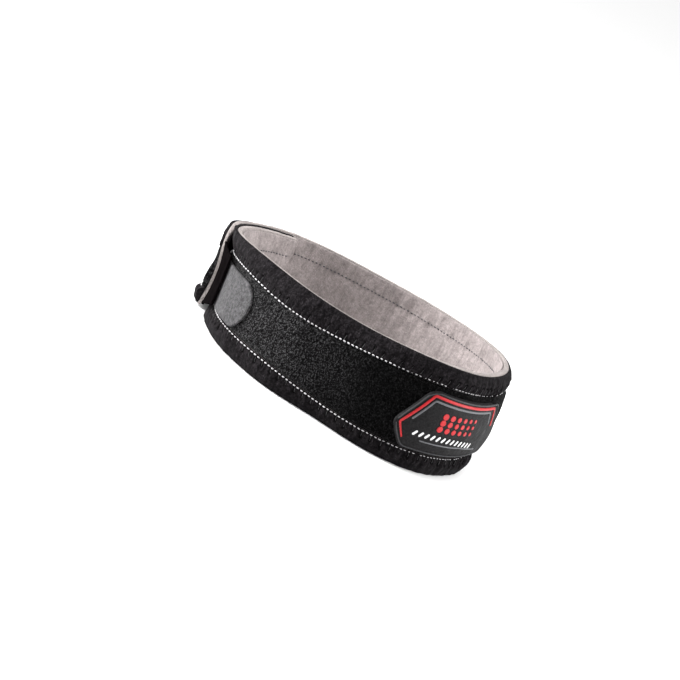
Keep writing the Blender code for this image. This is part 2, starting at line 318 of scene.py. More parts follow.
def closed_tubes(count, rings, size):
    """Faces of closed tubes whose vertices follow one another, each of rings of the same size."""
    start = np.arange(count)[:, None, None] * rings * size
    row = np.arange(rings - 1)[None, :, None] * size
    number = np.arange(size)[None, None, :]
    first = start + row + number
    second = start + row + (number + 1) % size
    faces = np.stack([first, second, second + size, first + size], -1).reshape(-1, 4).tolist()
    for begin in range(0, count * rings * size, rings * size):
        faces.append(list(range(begin, begin + size))[::-1])
        faces.append(list(range(begin + (rings - 1) * size, begin + rings * size)))
    return faces


def tube(name, bearings, levels, depths, material):
    """Closed strip along the wall from a ring of levels and depths at each bearing."""
    points = wall(bearings[:, None], levels, depths).reshape(-1, 3)
    uv = np.stack([runs_like(bearings, levels), levels], -1).reshape(-1, 2)
    return make_object(name, points, closed_tubes(1, *levels.shape), uv, material)


def runs_like(bearings, levels):
    """Run of each bearing, repeated along the rows of levels."""
    return np.broadcast_to(run_at(bearings)[:, None], levels.shape)


def band_bearings(start, end, step):
    return np.linspace(start, end, int(np.ceil((run_at(end) - run_at(start)) / step)) + 1)


# Materials.
class Finish:
    """Wires the nodes of one procedural material."""

    def __init__(self, name, roughness, sheen=0.0, sheen_roughness=0.5, specular=0.5):
        self.material = bpy.data.materials.new(name)
        self.material.use_nodes = True
        self.nodes = self.material.node_tree.nodes
        self.links = self.material.node_tree.links
        self.shader = self.nodes["Principled BSDF"]
        for socket, value in (("Roughness", roughness), ("Sheen Weight", sheen),
                              ("Sheen Roughness", sheen_roughness), ("Specular IOR Level", specular)):
            self.shader.inputs[socket].default_value = value
        self.place = self.nodes.new("ShaderNodeTexCoord").outputs["Object"]
        flat = self.nodes.new("ShaderNodeUVMap")
        flat.uv_map = "strap"
        split = self.nodes.new("ShaderNodeSeparateXYZ")
        self.links.new(flat.outputs["UV"], split.inputs[0])
        self.along, self.up = split.outputs["X"], split.outputs["Y"]

    def put(self, socket, value):
        if isinstance(value, (int, float)):
            socket.default_value = value
        else:
            self.links.new(value, socket)

    def math(self, operation, first, second=0.0):
        node = self.nodes.new("ShaderNodeMath")
        node.operation = operation
        for socket, value in zip(node.inputs, (first, second)):
            self.put(socket, value)
        return node.outputs[0]

    def times(self, *values):
        """Product of patterns or numbers."""
        total = values[0]
        for value in values[1:]:
            total = self.math("MULTIPLY", total, value)
        return total

    def noise(self, scale, detail=2.0, rough=0.5, vector=None):
        node = self.nodes.new("ShaderNodeTexNoise")
        self.links.new(vector or self.place, node.inputs["Vector"])
        for socket, value in (("Scale", scale), ("Detail", detail), ("Roughness", rough)):
            node.inputs[socket].default_value = value
        return node.outputs["Fac"]

    def cells(self, scale):
        """Distance to the nearest of scattered cells."""
        node = self.nodes.new("ShaderNodeTexVoronoi")
        self.links.new(self.place, node.inputs["Vector"])
        node.inputs["Scale"].default_value = scale
        return node.outputs["Distance"]

    def stretched(self, along, up):
        """Flat coordinates multiplied along and across the band."""
        node = self.nodes.new("ShaderNodeCombineXYZ")
        self.put(node.inputs[0], self.times(self.along, along))
        self.put(node.inputs[1], self.times(self.up, up))
        return node.outputs[0]

    def ramp(self, value, stops):
        node = self.nodes.new("ShaderNodeValToRGB")
        self.links.new(value, node.inputs[0])
        points = node.color_ramp.elements
        while len(points) < len(stops):
            points.new(0.5)
        for point, (place, shade) in zip(points, stops):
            point.position = place
            point.color = (*shade, 1.0)
        return node.outputs[0]

    def level(self, value, low, high, bottom=0.0, top=1.0):
        """A pattern's range from low to high, stretched to run from bottom to top."""
        node = self.nodes.new("ShaderNodeMapRange")
        node.clamp = True
        for socket, number in zip(node.inputs, (value, low, high, bottom, top)):
            self.put(socket, number)
        return node.outputs[0]

    def about(self, value, low, high, spread):
        """The same, stretched to lie about 1 by a spread."""
        return self.level(value, low, high, 1.0 - spread, 1.0 + spread)

    def colour(self, value):
        self.links.new(value, self.shader.inputs["Base Color"])

    def tinted(self, base, factor):
        """A base colour scaled by a pattern."""
        node = self.nodes.new("ShaderNodeVectorMath")
        node.operation = "SCALE"
        if isinstance(base, tuple):
            node.inputs[0].default_value = base
        else:
            self.links.new(base, node.inputs[0])
        self.put(node.inputs["Scale"], factor)
        return node.outputs[0]

    def bump(self, heights):
        """Bumps of several (pattern, depth in metres), added up."""
        total = None
        for pattern, depth in heights:
            part = self.times(pattern, depth)
            total = part if total is None else self.math("ADD", total, part)
        node = self.nodes.new("ShaderNodeBump")
        node.inputs["Strength"].default_value = 1.0
        node.inputs["Distance"].default_value = 1.0
        self.links.new(total, node.inputs["Height"])
        self.links.new(node.outputs[0], self.shader.inputs["Normal"])

    def rough(self, value):
        self.put(self.shader.inputs["Roughness"], value)

    def triangle(self, value):
        """Folded to 0 in the middle of each unit and 1 at its ends."""
        part = self.math("SUBTRACT", self.math("FRACT", value), 0.5)
        return self.times(self.math("ABSOLUTE", part), 2.0)

    def hollowed(self, value, power, share):
        """1 less a share of a pattern raised to a power."""
        return self.math("SUBTRACT", 1.0, self.times(self.math("POWER", value, power), share))


def knit_finish(name, base, wale, course, contrast, fleck, sheen, specular):
    """Jersey: columns of small V loops, with lint, uneven dye and faint streaks."""
    f = Finish(name, 0.82, sheen=sheen, sheen_roughness=0.45, specular=specular)
    edge = f.triangle(f.math("DIVIDE", f.along, wale))
    loop = f.triangle(f.math("ADD", f.math("DIVIDE", f.up, course), f.times(edge, 0.45)))
    body = f.times(f.hollowed(edge, 2.5, 0.5), f.hollowed(loop, 2.0, 0.6))
    fine = f.noise(1700.0, 2.0, 0.6)
    dye = f.about(f.noise(160.0, 3.0, 0.6), 0.3, 0.7, 0.18)
    grain = f.about(fine, 0.3, 0.7, contrast)
    shade = f.level(body, 0.0, 1.0, 1.0 - contrast, 1.0 + 0.5 * contrast)
    lint = f.level(f.noise(900.0, 1.0, 0.4), 0.70, 0.78, 0.0, fleck)
    mottle = f.about(f.noise(760.0, 2.0, 0.6), 0.34, 0.66, 0.75 * contrast)
    streak = f.about(f.noise(1.0, 2.0, 0.6, f.stretched(700.0, 110.0)), 0.36, 0.64, 0.6 * contrast)
    f.colour(f.tinted(base, f.math("ADD", f.times(shade, f.times(dye, mottle, streak), grain), lint)))
    f.rough(f.level(grain, 0.7, 1.3, 0.76, 0.90))
    f.bump([(body, 0.00005), (fine, 0.00014), (f.noise(520.0, 2.0, 0.5), 0.00030)])
    return f.material


def plush_finish(name, base, runs):
    """Brushed loop pile: a dark bed with lighter fibre ends, darkened between the runs by painted shade and
    lightened after them by painted sheen.
    """
    f = Finish(name, 0.9, sheen=0.015, sheen_roughness=0.4, specular=0.015)
    fine = f.noise(2300.0, 2.0, 0.62)
    tuft = f.noise(1150.0, 2.0, 0.55)
    lean = f.noise(1.0, 2.0, 0.5, f.stretched(1700.0, 800.0))
    bed = f.level(f.noise(120.0, 3.0, 0.55), 0.3, 0.72, 0.72, 1.25)
    # Painted shade along the band, darkest between the middle runs, then painted sheen towards the end.
    painted_shade = f.level(f.along, runs[0], runs[1], 1.0, 0.20)
    painted_sheen = f.level(f.along, runs[2], runs[3], 0.0, 0.60)
    bed = f.times(bed, f.math("ADD", painted_shade, painted_sheen))
    mix = f.math("ADD", f.times(fine, 0.5), f.times(tuft, 0.22))
    mix = f.math("ADD", mix, f.times(lean, 0.28))
    tips = f.ramp(mix, [(0.40, (0.06, 0.06, 0.06)), (0.48, (0.50, 0.48, 0.50)), (0.53, (2.0, 1.95, 2.02)),
                        (0.60, (7.6, 7.5, 7.7))])
    f.colour(f.tinted(f.tinted(tips, bed), base))
    f.bump([(fine, 0.00030), (tuft, 0.00040), (lean, 0.0002)])
    return f.material


def foam_finish(name, base):
    """Cut foam: fine closed cells with darker pores."""
    f = Finish(name, 0.92, specular=0.2)
    cell = f.cells(1500.0)
    soil = f.level(f.noise(70.0, 3.0, 0.6), 0.3, 0.7, 0.80, 1.12)
    pore = f.level(cell, 0.1, 0.55, 0.62, 1.08)
    f.colour(f.tinted(base, f.times(pore, soil)))
    f.bump([(cell, 0.00018), (f.noise(380.0, 2.0, 0.5), 0.0002)])
    return f.material


def woven_finish(name, base, rib, pick):
    """Narrow woven tape: raised ribs crossed by fine picks."""
    f = Finish(name, 0.66, sheen=0.05, specular=0.25)
    warp = f.math("DIVIDE", f.along, rib)
    weft = f.math("DIVIDE", f.up, pick)
    half = f.times(f.math("FLOOR", warp), 0.5)
    picks = f.triangle(f.math("ADD", weft, half))
    over = f.times(f.hollowed(f.triangle(warp), 2.0, 1.0), f.hollowed(picks, 2.0, 0.6))
    fuzz = f.noise(1500.0, 3.0, 0.65)
    wear = f.about(f.noise(200.0, 3.0, 0.6), 0.3, 0.7, 0.07)
    mottle = f.about(f.noise(820.0, 2.0, 0.6), 0.36, 0.64, 0.70)
    shade = f.times(f.level(over, 0.0, 1.0, 0.70, 1.20), f.about(fuzz, 0.36, 0.64, 0.50), mottle)
    f.colour(f.tinted(base, f.times(shade, wear)))
    f.rough(f.level(fuzz, 0.3, 0.7, 0.55, 0.72))
    f.bump([(over, 0.00010), (fuzz, 0.00010)])
    return f.material


def rubber_finish(name, base, grain, roughness, speck, specular=0.25):
    """Moulded rubbery print with a fine sandy grain and slight scuffs."""
    f = Finish(name, roughness, specular=specular)
    sand = f.noise(1500.0, 2.0, 0.6)
    cloud = f.about(f.noise(150.0, 3.0, 0.6), 0.3, 0.7, 0.12)
    shade = f.level(sand, 0.30, 0.72, 1.0 - speck, 1.0 + 1.3 * speck)
    f.colour(f.tinted(base, f.times(shade, cloud)))
    f.rough(f.level(f.noise(240.0, 3.0, 0.7), 0.3, 0.75, roughness - 0.08, roughness + 0.12))
    f.bump([(sand, grain), (f.noise(420.0, 2.0, 0.5), grain)])
    return f.material


def thread_finish(name, base, roughness=0.6):
    """Twisted thread: slanted plies along each stitch."""
    f = Finish(name, roughness, sheen=0.15, specular=0.35)
    ply = f.triangle(f.math("ADD", f.math("DIVIDE", f.along, THREAD_TURN), f.up))
    worn = f.level(f.noise(260.0, 3.0, 0.6), 0.3, 0.7, 0.80, 1.12)
    f.colour(f.tinted(base, f.times(f.level(ply, 0.2, 1.0, 1.08, 0.62), worn)))
    f.bump([(ply, -0.00006), (f.noise(2600.0, 2.0, 0.6), 0.00005)])
    return f.material


# Painted shade and sheen on the pile: its colour darkens between the first two of these bearings, is darkest
# from the second to the third, and lightens again as painted sheen up to the fourth.
PAINTED_SHADE_RUNS = [float(run_at(bearing)) for bearing in (-75.0, -42.0, 6.0, 50.0)]
THREAD_TURN = 0.00042

# Colours and finishes.
KNIT = (0.0074, 0.0065, 0.0072)
PLUSH = 0.0078
FOAM = (0.265, 0.237, 0.228)
LINING_GREY = (0.255, 0.223, 0.218)
# Painted shade: the facing is darker than the black knit, partly the flap's own dark inner cloth and partly
# the shade of the gap past the flap's end.
FACING_CLOTH_AND_SHADE = (0.0030, 0.0024, 0.0026)
TAB_GREY = (0.0305, 0.0290, 0.0310)
CHARCOAL = (0.0062, 0.0059, 0.0064)
RED = (0.38, 0.011, 0.015)
LINE_GREY = (0.095, 0.097, 0.104)
BEAD_GREY = (0.022, 0.022, 0.024)
THREAD_PALE = (0.60, 0.59, 0.60)
THREAD_GREY = (0.060, 0.058, 0.062)
THREAD_DARK = (0.010, 0.0095, 0.0105)
WHITE_PRINT = (0.62, 0.62, 0.62)

knit = knit_finish("knit_black", KNIT, wale=0.00046, course=0.00040, contrast=0.70, fleck=1.8, sheen=0.015,
                   specular=0.02)
plush = plush_finish("loop_pile_black", PLUSH, PAINTED_SHADE_RUNS)
foam = foam_finish("foam_grey", FOAM)
jersey = knit_finish("jersey_grey", LINING_GREY, wale=0.00070, course=0.00058, contrast=0.16, fleck=0.15,
                     sheen=0.06, specular=0.2)
facing_cloth_and_shade = knit_finish("facing_dark_and_painted_shade", FACING_CLOTH_AND_SHADE, wale=0.00080, course=0.00060, contrast=0.30,
                           fleck=0.2, sheen=0.0, specular=0.0)
tape = woven_finish("hook_tape_grey", TAB_GREY, rib=0.00052, pick=0.00046)
rubber = rubber_finish("patch_charcoal", CHARCOAL, 0.00010, 0.58, 0.75, specular=0.10)
red_rubber = rubber_finish("trim_red", RED, 0.00004, 0.46, 0.10)
grey_rubber = rubber_finish("trim_grey", LINE_GREY, 0.00005, 0.48, 0.16)
bead_rubber = rubber_finish("bead_charcoal", BEAD_GREY, 0.00005, 0.48, 0.25)
white_rubber = rubber_finish("trim_white", WHITE_PRINT, 0.00003, 0.45, 0.05)
pale_thread = thread_finish("thread_pale", THREAD_PALE)
dark_thread = thread_finish("thread_dark", THREAD_DARK)
grey_thread = thread_finish("thread_grey", THREAD_GREY, 0.65)

# Outer skins, and the depths and widths of their relief.
BAND_STEP = 0.00036
PANEL_STEP = 0.00045
END_TRIM = 0.6
SEAM_EDGE = 0.00050
SEAM_GROOVE = 0.00055
SEAM_GROOVE_WIDTH = 0.00085
MARGIN_CROWN = 0.00095
FLAP_CROWN = 0.0009
RIM_REACH = 0.0013
RIM_ROUND = 0.00095
GATHER_DEPTH = 0.00013
PANEL_EDGE = 0.00082
PANEL_RISE = 0.00110
PANEL_HIGHEST = 0.00070
EDGE_GAP = 0.0001


def rim_round(from_rim):
    """Extra depth towards a rim, where the skin rolls over its cut edge."""
    t = np.clip(1.0 - from_rim / RIM_REACH, 0.0, 1.0)
    return RIM_ROUND * (1.0 - np.sqrt(1.0 - 0.96 * t * t))


def margin(name, side):
    """Knit margin between a seam and a rim: side is 1 above the upper seam, -1 below the lower one."""
    bearings = band_bearings(START + END_TRIM, FLAP_END - END_TRIM, BAND_STEP)
    ahead = front(bearings)[:, None]
    low, high = seam_levels(bearings)
    if side > 0:
        seam, rows, flap_share = high, 22, 0.04
        rim = height(bearings) - (0.00058 * smooth(bearings, -36.0, -4.0) - 0.00022)
    else:
        seam, rows, flap_share = low, 18, 1.0
        rim = foot_level(bearings) + EDGE_GAP
    width = np.abs(rim - seam)
    across = width[:, None]
    t = np.linspace(0.0, 1.0, rows)
    t = t - 0.35 * np.sin(2 * np.pi * t) / (2 * np.pi)
    away = -SEAM_EDGE + (across + SEAM_EDGE) * t[None, :]
    beyond = np.maximum(away, 0.0)
    levels = seam[:, None] + side * away
    run = runs_like(bearings, levels)
    crown = MARGIN_CROWN + 0.00011 * knit_waves(run, levels, 0.3) - 0.00015 * ahead
    crown = crown + FLAP_CROWN * flap_zone(bearings)[:, None] * flap_share
    crown = np.minimum(crown, 0.30 * across)
    swell = 1.0 - np.exp(-(beyond / (0.26 * across))**1.6)
    fall = 1.0 - 0.55 * smooth(away / across, 0.35, 1.0)
    depth = -crown * swell * fall
    depth += SEAM_GROOVE * np.exp(-(away / SEAM_GROOVE_WIDTH)**2)
    depth += SKIN * smooth(-away, -0.0001, SEAM_EDGE)
    if side < 0:
        depth -= plump(bearings)[:, None] * np.exp(-(beyond / 0.0030)**2)
    depth += (1.0 + 1.5 * ahead) * leg_field(run, away, side)
    pull = np.exp(-beyond / (0.0030 + 0.0020 * ahead))
    depth += gathers(run, levels, 0.12) * GATHER_DEPTH * pull * (0.5 + 3.8 * ahead)
    depth += rim_round(across - away)
    depth += 0.00010 * knit_waves(run + 0.013, levels, 0.5)
    depth -= 0.00025 * band_waves(run, levels, 0.2)
    back = np.stack([rim, rim - side * 0.3 * width, seam + side * 0.0012,
                     seam - side * (SEAM_EDGE - EDGE_GAP)], 1)
    inner = np.broadcast_to((SKIN + 2 * EDGE_GAP, SKIN, SKIN, SKIN + EDGE_GAP), back.shape)
    return tube(name, bearings, np.concatenate([levels, back], 1),
                np.concatenate([np.minimum(depth, SKIN - EDGE_GAP), inner], 1), knit)


def loop_panel():
    """Brushed panel between the seams, with lumps and beds in its pile."""
    bearings = band_bearings(START + END_TRIM, FLAP_END - END_TRIM, PANEL_STEP)
    low, high = seam_levels(bearings)
    low = low + SEAM_EDGE + EDGE_GAP
    high = high - SEAM_EDGE - EDGE_GAP
    t = np.linspace(0.0, 1.0, 60)
    t = t - 0.6 * np.sin(2 * np.pi * t) / (2 * np.pi)
    levels = low[:, None] + (high - low)[:, None] * t[None, :]
    edge = np.maximum(np.minimum(levels - low[:, None], high[:, None] - levels), 0.0)
    run = runs_like(bearings, levels)
    depth = PANEL_EDGE - PANEL_RISE * (1.0 - np.exp(-(edge / 0.00085)**1.3))
    depth -= 0.00016 * smooth(edge, 0.001, 0.008)
    pile = 0.000075 * pile_lumps(run, levels) + 0.00006 * pile_beds(run, levels)
    depth += pile * smooth(edge, 0.0, 0.0012)
    depth += 0.00010 * gathers(run, levels, 0.12) * np.exp(-edge / 0.0022)
    depth -= 0.00010 * band_waves(run, levels, 0.3)
    depth = np.clip(depth, -PANEL_HIGHEST, SKIN - 0.5 * EDGE_GAP)
    depth -= plump(bearings)[:, None] * (1.0 - smooth(t, 0.2, 0.75))[None, :]
    back = high[:, None] + (low - high)[:, None] * np.linspace(0.0, 1.0, 9)[None, :]
    inner = np.full(back.shape, SKIN + EDGE_GAP)
    return tube("loop_panel_pile", bearings, np.concatenate([levels, back], 1),
                np.concatenate([depth, inner], 1), plush)


upper_margin = margin("upper_margin_knit", 1)
lower_margin = margin("lower_margin_knit", -1)
panel = loop_panel()


# Foam, lining and facing.
OUTER_ROWS = 14
INNER_ROWS = 22
CORNER_TURNS = np.radians((0.0, 22.5, 45.0, 67.5, 90.0))
WAVY_ABOVE = 0.01


def layer(name, start, end, step, outer, inner, bottom, top, roundness, material, inside=None, uneven=0.0):
    """Plain layer of the laminate, with rounded rims and an optional relief on its inner face."""
    bearings = band_bearings(start, end, step)
    low, high = bottom(bearings), top(bearings)
    outer, inner = outer(bearings), inner(bearings)
    radius = np.minimum(roundness, 0.45 * (inner - outer))
    levels, depths = [], []

    def corner(rim, across, face, inwards, turns):
        for turn in turns:
            levels.append(rim + across * radius * (1.0 - np.sin(turn)))
            depths.append(face + inwards * radius * (1.0 - np.cos(turn)))

    def flat(shares, face, relief=None):
        for share in shares:
            level = low + radius + (high - low - 2 * radius) * share
            levels.append(level)
            depths.append(face - relief(bearings, level) if relief else face)

    corner(high, -1, outer, 1, CORNER_TURNS)
    corner(high, -1, inner, -1, CORNER_TURNS[::-1])
    flat(np.linspace(1.0, 0.0, INNER_ROWS)[1:-1], inner, inside)
    corner(low, 1, inner, -1, CORNER_TURNS)
    corner(low, 1, outer, 1, CORNER_TURNS[::-1])
    flat(np.linspace(0.0, 1.0, OUTER_ROWS)[1:-1], outer)
    levels = np.stack(levels, 1)
    depths = np.stack(depths, 1)
    if uneven:
        run = runs_like(bearings, levels)
        depths = depths + uneven * pile_lumps(run, levels + depths)
        wavy = levels + uneven * knit_waves(run, 0.0)
        levels = np.where(levels > WAVY_ABOVE, wavy, np.maximum(levels, 0.0))
    return tube(name, bearings, levels, depths, material)


core_outer = SKIN + CLEARANCE
foam_core = layer("foam_core_cut", START, FLAP_END, 0.0006,
                  lambda b: np.full_like(b, core_outer), lambda b: core_outer + CORE * pinch(b),
                  foot_level, height, 0.00045, foam, uneven=0.00004)


def quilting(bearings, level):
    """Relief of the inner face: both rows of stitching pull it in, with small gathers beside them."""
    run = run_at(bearings)
    total = 0.00010 * knit_waves(run, level, 0.5)
    for seam in seam_levels(bearings):
        away = np.abs(level - seam)
        total = total + 0.00030 * np.exp(-(away / 0.0009)**2)
        total = total + 0.00008 * gathers(run, level, 0.12) * np.exp(-away / 0.003)
    return total


lining_outer = SKIN + 2 * CLEARANCE
facing_start = FLAP_END - FACING_SPAN


def lining_face(bearings):
    return lining_outer + CORE * pinch(bearings)


def inner_low(bearings):
    return foot_level(bearings) + SKIN_INSET


def inner_high(bearings):
    return height(bearings) - SKIN_INSET


def facing_outer(bearings):
    """Outer depth of the facing, which leaves the flap's foam and comes down on the tab's root as a dark
    tongue of painted shade.
    """
    on_tab = CLEARANCE + PANEL_PUFF + TAB_THICKNESS + CLEARANCE + FACING
    down = smooth(bearings, FLAP_END, FLAP_END + 0.8 * FACING_REACH)
    return (1.0 - down) * lining_face(bearings) + down * (lift(bearings, 0.5) - on_tab)


def facing_low(bearings):
    return inner_low(bearings) + FACING_RISE / FACING_REACH * np.maximum(bearings - FLAP_END, 0.0)


def facing_high(bearings):
    # The top of the tongue of painted shade rises past the flap's end.
    peak = FACING_PEAK * smooth(bearings, FLAP_END, FLAP_END + 8.0)
    return inner_high(np.minimum(bearings, FLAP_END)) + peak


lining = layer("lining_jersey", START + END_TRIM, facing_start, 0.0009,
               lining_face, lambda b: lining_face(b) + LINING,
               inner_low, inner_high, 0.00025, jersey, inside=quilting)
# Painted shade: the dark facing runs on past the flap's end over the tab's root, where the gap between flap
# and tab is in shade.
facing = layer("flap_facing_and_painted_shade", facing_start + 0.3, FLAP_END + FACING_REACH, 0.0006,
               facing_outer, lambda b: facing_outer(b) + FACING,
               facing_low, facing_high, 0.00035, facing_cloth_and_shade)


# Pieces cut to an outline, and what is raised on the patch.
def outline_to_edges(points, bearings):
    """Low and high level at each bearing of a closed outline given as (bearing, level)."""
    lows, highs = [], []
    loop = np.concatenate([points, points[:1]])
    for bearing in bearings:
        a, b = loop[:-1], loop[1:]
        spans = (np.minimum(a[:, 0], b[:, 0]) <= bearing) & (np.maximum(a[:, 0], b[:, 0]) >= bearing)
        a, b = a[spans], b[spans]
        run = b[:, 0] - a[:, 0]
        t = np.where(np.abs(run) > 1e-9, (bearing - a[:, 0]) / np.where(np.abs(run) > 1e-9, run, 1.0), 0.5)
        found = a[:, 1] + (b[:, 1] - a[:, 1]) * t
        lows.append(found.min())
        highs.append(found.max())
    return np.array(lows), np.array(highs)


def rounded(points, rounds):
    """Closed outline with its corners cut off again and again."""
    for _ in range(rounds):
        after = np.roll(points, -1, axis=0)
        points = np.stack([0.75 * points + 0.25 * after, 0.25 * points + 0.75 * after], 1).reshape(-1, 2)
    return points


def distance_inside(run, level, outline):
    """Distance from points to the nearest side of an outline of (run, level)."""
    best = np.full(np.broadcast(run, level).shape, 1.0)
    for start, end in zip(outline, np.roll(outline, -1, axis=0)):
        side = end - start
        t = np.clip(((run - start[0]) * side[0] + (level - start[1]) * side[1]) / (side @ side), 0.0, 1.0)
        gap = np.hypot(run - start[0] - t * side[0], level - start[1] - t * side[1])
        best = np.minimum(best, gap)
    return best


def cut_piece(name, outline, bearings, rows, inner, surface, material):
    """Piece on the wall inside an outline of (bearing, level), with a flat back and a given surface."""
    lows, highs = outline_to_edges(outline, bearings)
    lows = np.minimum(lows, highs - 0.0002)
    t = 0.5 - 0.5 * np.cos(np.pi * np.linspace(0.0, 1.0, rows))
    t = 0.5 * t + 0.5 * np.linspace(0.0, 1.0, rows)
    levels = lows[:, None] + (highs - lows)[:, None] * t[None, :]
    run = runs_like(bearings, levels)
    flat = np.stack([run_at(outline[:, 0]), outline[:, 1]], 1)
    depth = surface(run, levels, distance_inside(run, levels, flat))
    back = np.stack([highs, 0.5 * (lows + highs), lows], 1)
    return tube(name, bearings, np.concatenate([levels, back], 1),
                np.concatenate([depth, np.full(back.shape, inner)], 1), material)


def outline_of(bearings, lows, highs):
    """Closed outline of (bearing, level) from its lower and upper edge as shares of the height."""
    full = full_height(bearings)
    lower = np.stack([bearings, lows * full], 1)
    return np.concatenate([lower[::-1], np.stack([bearings, highs * full], 1)])


# The tab's bearings lie closer over its rounded tip.
TAB_ROUND = 9.0
ON_PANEL = -CLEARANCE - PANEL_PUFF
tab_flat = rounded(outline_of(TAB_TIP - TAB[:, 0], TAB[:, 1], TAB[:, 2]), 3)
tab_bearings = np.concatenate([np.linspace(tab_flat[:, 0].min() + 0.02, TAB_TIP - TAB_ROUND, 150)[:-1],
                               TAB_TIP - TAB_ROUND * (1.0 - np.sin(np.linspace(0.0, np.pi / 2, 60)))])
tab_bearings = tab_bearings[tab_bearings < tab_flat[:, 0].max() - 0.01]


def tab_surface(run, level, gap):
    raised = 1.0 - np.exp(-(gap / 0.00018)**1.5)
    depth = ON_PANEL - TAB_THICKNESS * (0.30 + 0.45 * raised)
    return depth + 0.00006 * knit_waves(run, level) - 0.00005 * band_waves(run, level)


tab = cut_piece("hook_tab_tape", tab_flat, tab_bearings, 40, ON_PANEL, tab_surface, tape)

PATCH_SIDE = 0.30 * PATCH_THICKNESS
PATCH_CROWN = 0.55 * PATCH_THICKNESS
PATCH_STEP = 0.00012
PATCH_FIELD = ON_PANEL - PATCH_SIDE - PATCH_CROWN - PATCH_STEP
patch_flat = rounded(outline_of(*PATCH.T), 1)
patch_left, patch_right = patch_flat[:, 0].min(), patch_flat[:, 0].max()
evenly = np.linspace(patch_left + 0.03, patch_right - 0.03, 210)
patch_bearings = np.unique(np.concatenate([evenly, patch_flat[1:-1, 0]]))
patch_bearings = patch_bearings[(patch_bearings > patch_left + 0.02) & (patch_bearings < patch_right - 0.02)]


def patch_surface(run, level, gap):
    edge = 1.0 - np.exp(-(gap / 0.00022)**1.6)
    bead = 0.00022 * np.exp(-((gap - 0.00062) / 0.00030)**2)
    depth = ON_PANEL - PATCH_SIDE - PATCH_CROWN * edge - bead - PATCH_STEP * smooth(gap, 0.0011, 0.0015)
    return depth - 0.00003 * pile_lumps(run * 0.7, level * 0.7)


patch = cut_piece("patch_moulding", patch_flat, patch_bearings, 70, ON_PANEL, patch_surface, rubber)
LINE_STEP = 0.0005
LINE_SINK = 0.00015


def path_of(table):
    return np.stack([run_at(table[:, 0]), table[:, 1] * full_height(table[:, 0])], 1)


def softened(points, radius):
    """Open path with its corners rounded to about the given length."""
    made = [points[0]]
    for before, corner, after in zip(points, points[1:], points[2:]):
        to_before = before - corner
        to_after = after - corner
        reach = min(radius, 0.4 * np.linalg.norm(to_before), 0.4 * np.linalg.norm(to_after))
        start = corner + to_before / np.linalg.norm(to_before) * reach
        end = corner + to_after / np.linalg.norm(to_after) * reach
        for t in np.linspace(0.0, 1.0, 6):
            made.append((1 - t)**2 * start + 2 * t * (1 - t) * corner + t**2 * end)
    made.append(points[-1])
    return np.array(made)


def resampled(points, step):
    lengths = np.concatenate([[0.0], np.cumsum(np.linalg.norm(np.diff(points, axis=0), axis=1))])
    places = np.linspace(0.0, lengths[-1], int(lengths[-1] / step) + 2)
    return np.stack([np.interp(places, lengths, points[:, axis]) for axis in range(points.shape[1])], 1)


def raised_line(name, table, width, rise, material, corner=0.0006, slim=1.0):
    """Half-round bead along a path on the patch, slim of its full width at the start."""
    points = resampled(softened(path_of(table), corner), LINE_STEP)
    count = len(points)
    along = np.gradient(points, axis=0)
    along /= np.linalg.norm(along, axis=1)[:, None]
    side = np.stack([-along[:, 1], along[:, 0]], 1)
    arc = np.radians(np.linspace(0.0, 180.0, 9))
    ends = np.minimum(np.arange(count), np.arange(count)[::-1]) * LINE_STEP
    taper = np.sqrt(np.clip(1.0 - (1.0 - np.clip(ends / (0.5 * width), 0.0, 1.0))**2, 0.02, 1.0))
    grown = slim + (1.0 - slim) * smooth(np.arange(count) * LINE_STEP, 0.002, 0.0110)
    offset = 0.5 * width * np.cos(arc)[None, :] * (taper * grown)[:, None]
    profile = np.clip(1.35 * np.sin(arc), 0.0, 1.0)[None, :]
    run = points[:, 0:1] + side[:, 0:1] * offset
    level = points[:, 1:2] + side[:, 1:2] * offset
    depth = PATCH_FIELD + LINE_SINK - (rise + LINE_SINK) * profile * taper[:, None]
    ring_run = np.concatenate([run, run[:, ::-1][:, 2:-2:2]], 1)
    ring_level = np.concatenate([level, level[:, ::-1][:, 2:-2:2]], 1)
    under = np.full((count, ring_run.shape[1] - len(arc)), PATCH_FIELD + 0.0002)
    vertices = wall(bearing_at(ring_run), ring_level, np.concatenate([depth, under], 1)).reshape(-1, 3)
    flat = np.stack([ring_run, ring_level], -1).reshape(-1, 2)
    return make_object(name, vertices, closed_tubes(1, *ring_run.shape), flat, material)


border = raised_line("patch_red_line", BORDER, 0.00112, 0.00032, red_rubber, slim=0.55)
ridge = raised_line("patch_grey_line", RIDGE, 0.00085, 0.00026, grey_rubber)
foot = raised_line("patch_foot_line", FOOT_LINE, 0.00060, 0.00020, grey_rubber)
bead = raised_line("patch_edge_bead", EDGE_BEAD, 0.00055, 0.00022, bead_rubber, corner=0.0020)


def pads(name, outlines, rise, material):
    """Raised flat motifs on the patch from closed outlines of (run, level), in one mesh."""
    rings = ((1.0, 0.0001), (1.0, -0.6 * rise), (0.93, -rise), (0.5, -1.05 * rise))
    flats, depths = [], []
    for outline in outlines:
        centre = outline.mean(axis=0)
        for share, depth in rings:
            flats.append(centre + (outline - centre) * share)
            depths.append(np.full(len(outline), PATCH_FIELD + depth))
    flats = np.concatenate(flats)
    vertices = wall(bearing_at(flats[:, 0]), flats[:, 1], np.concatenate(depths))
    faces = closed_tubes(len(outlines), len(rings), len(outlines[0]))
    return make_object(name, vertices, faces, flats, material, sharp=35.0)


def disc(run, level, radius):
    angle = np.radians(np.arange(0.0, 360.0, 15.0))
    return np.stack([run + radius * np.cos(angle), level + radius * np.sin(angle)], 1)


